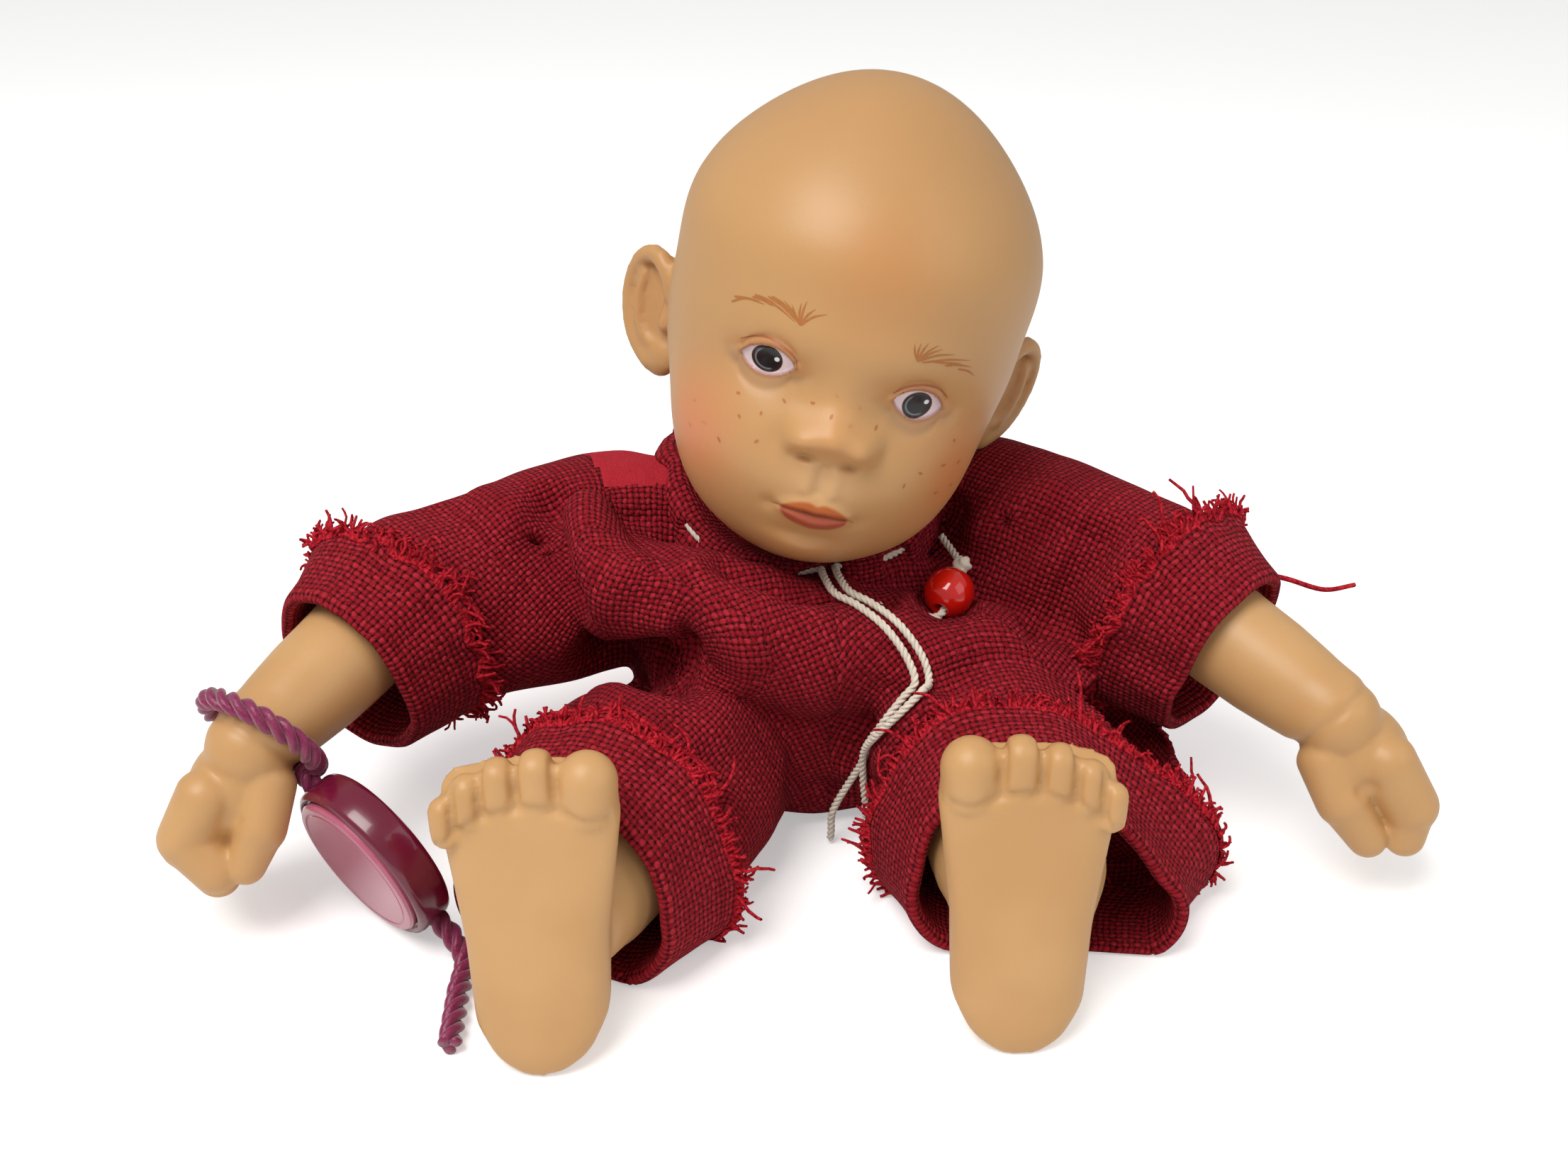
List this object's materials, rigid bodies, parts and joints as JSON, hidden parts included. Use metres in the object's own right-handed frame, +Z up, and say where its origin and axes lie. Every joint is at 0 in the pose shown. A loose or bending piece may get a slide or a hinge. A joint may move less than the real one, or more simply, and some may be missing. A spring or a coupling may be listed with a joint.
{
  "type": "soft-bodied vinyl doll",
  "caption": "Seated baby doll with vinyl head, arms and legs tied into a stuffed cloth body, in a woven romper with a drawstring neckline, a bead and a round tag on a wrist cord.",
  "frame": {"origin": "middle of the flat seat, on the surface the doll sits on", "axes": "+Z up, the doll faces -Y, its right side is at -X"},
  "size_m": [0.1886, 0.1179, 0.1188],
  "materials": {
    "vinyl": "satin",
    "romper": "coarse plain weave",
    "body_cotton": "plain weave",
    "filling": "loose fibre",
    "nylon": "satin",
    "string": "twisted cord",
    "satin_cord": "twisted satin",
    "bead": "gloss",
    "tag_body": "gloss",
    "tag_face": "semi-gloss"
  },
  "bodies": {
    "torso": {"torso_cloth": "body_cotton", "torso_filling": "filling", "romper_body": "romper", "neck_ruffle": "romper", "drawstring": "string", "bead_cord": "string"},
    "neck": {"neck_cloth": "body_cotton"},
    "neck_ring": {"neck_tie": "nylon"},
    "head": {"head": "vinyl"},
    "bead": {"bead": "bead"},
    "tag": {"tag_body": "tag_body", "tag_face": "tag_face"},
    "right_upper_arm": {"right_upper_arm_cloth": "body_cotton", "right_arm_tie": "nylon", "right_sleeve": "romper"},
    "right_arm": {"right_arm": "vinyl", "right_sleeve_cuff": "romper", "wrist_cord": "satin_cord"},
    "right_thigh": {"right_thigh_cloth": "body_cotton", "right_leg_tie": "nylon", "right_trouser_leg": "romper", "right_trouser_cuff": "romper"},
    "right_leg": {"right_leg": "vinyl"},
    "left_upper_arm": {"left_upper_arm_cloth": "body_cotton", "left_arm_tie": "nylon", "left_sleeve": "romper"},
    "left_arm": {"left_arm": "vinyl", "left_sleeve_cuff": "romper"},
    "left_thigh": {"left_thigh_cloth": "body_cotton", "left_leg_tie": "nylon", "left_trouser_leg": "romper", "left_trouser_cuff": "romper"},
    "left_leg": {"left_leg": "vinyl"}
  },
  "joints": [
    {"name": "head_nod", "type": "hinge", "parent": "torso", "child": "neck", "pos_m": [-0.0046, 0.005, 0.0455], "axis": [-0.9285, 0.3017, 0.2164], "range_deg": [-2, 14], "deforming": ["neck_cloth", "neck_ruffle"]},
    {"name": "head_tilt", "type": "hinge", "parent": "neck", "child": "neck_ring", "pos_m": [-0.0046, 0.005, 0.0455], "axis": [0.309, 0.9511, 0], "range_deg": [-8, 8]},
    {"name": "head_turn", "type": "hinge", "parent": "neck_ring", "child": "head", "pos_m": [-0.0046, 0.005, 0.0455], "axis": [0.2058, -0.0669, 0.9763], "range_deg": [-30, 25]},
    {"name": "right_shoulder_raise", "type": "hinge", "parent": "torso", "child": "right_upper_arm", "pos_m": [-0.0296, 0.004, 0.0385], "axis": [-0.1288, 0.9917, 0], "range_deg": [0, 50], "deforming": ["right_upper_arm_cloth", "right_sleeve"]},
    {"name": "right_arm_twist", "type": "hinge", "parent": "right_upper_arm", "child": "right_arm", "pos_m": [-0.04547, 0.00194, 0.03831], "axis": [-0.9916, -0.1288, -0.0122], "range_deg": [0, 45], "deforming": ["wrist_cord"]},
    {"name": "left_shoulder_raise", "type": "hinge", "parent": "torso", "child": "left_upper_arm", "pos_m": [0.0204, 0.004, 0.0385], "axis": [-0.7669, -0.6418, 0], "range_deg": [0, 24], "deforming": ["left_upper_arm_cloth", "left_sleeve"]},
    {"name": "left_arm_twist", "type": "hinge", "parent": "left_upper_arm", "child": "left_arm", "pos_m": [0.03067, -0.00827, 0.03887], "axis": [-0.6416, 0.7667, -0.0232], "range_deg": [0, 30]},
    {"name": "right_hip_raise", "type": "hinge", "parent": "torso", "child": "right_thigh", "pos_m": [-0.02038, -0.0155, 0.0167], "axis": [-0.7873, 0.6165, 0], "range_deg": [0, 22], "deforming": ["right_thigh_cloth", "right_trouser_leg"]},
    {"name": "right_leg_twist", "type": "hinge", "parent": "right_thigh", "child": "right_leg", "pos_m": [-0.03641, -0.03597, 0.01628], "axis": [-0.6164, -0.7872, -0.016], "range_deg": [-18, 12]},
    {"name": "left_hip_raise", "type": "hinge", "parent": "torso", "child": "left_thigh", "pos_m": [0.01762, -0.0155, 0.0167], "axis": [-0.9861, 0.1662, 0], "range_deg": [0, 20], "deforming": ["left_thigh_cloth", "left_trouser_leg", "drawstring"]},
    {"name": "left_leg_twist", "type": "hinge", "parent": "left_thigh", "child": "left_leg", "pos_m": [0.0133, -0.04113, 0.01626], "axis": [-0.1662, -0.9859, -0.0169], "range_deg": [-12, 18]},
    {"name": "tag_swing", "type": "hinge", "parent": "right_arm", "child": "tag", "pos_m": [-0.07996, -0.03644, 0.01408], "axis": [0.5712, -0.5128, -0.641], "range_deg": [-30, 28]},
    {"name": "bead_spin", "type": "hinge", "parent": "torso", "child": "bead", "pos_m": [0.01359, -0.02434, 0.03987], "axis": [0.609, 0.7059, 0.3615], "continuous": true}
  ]
}
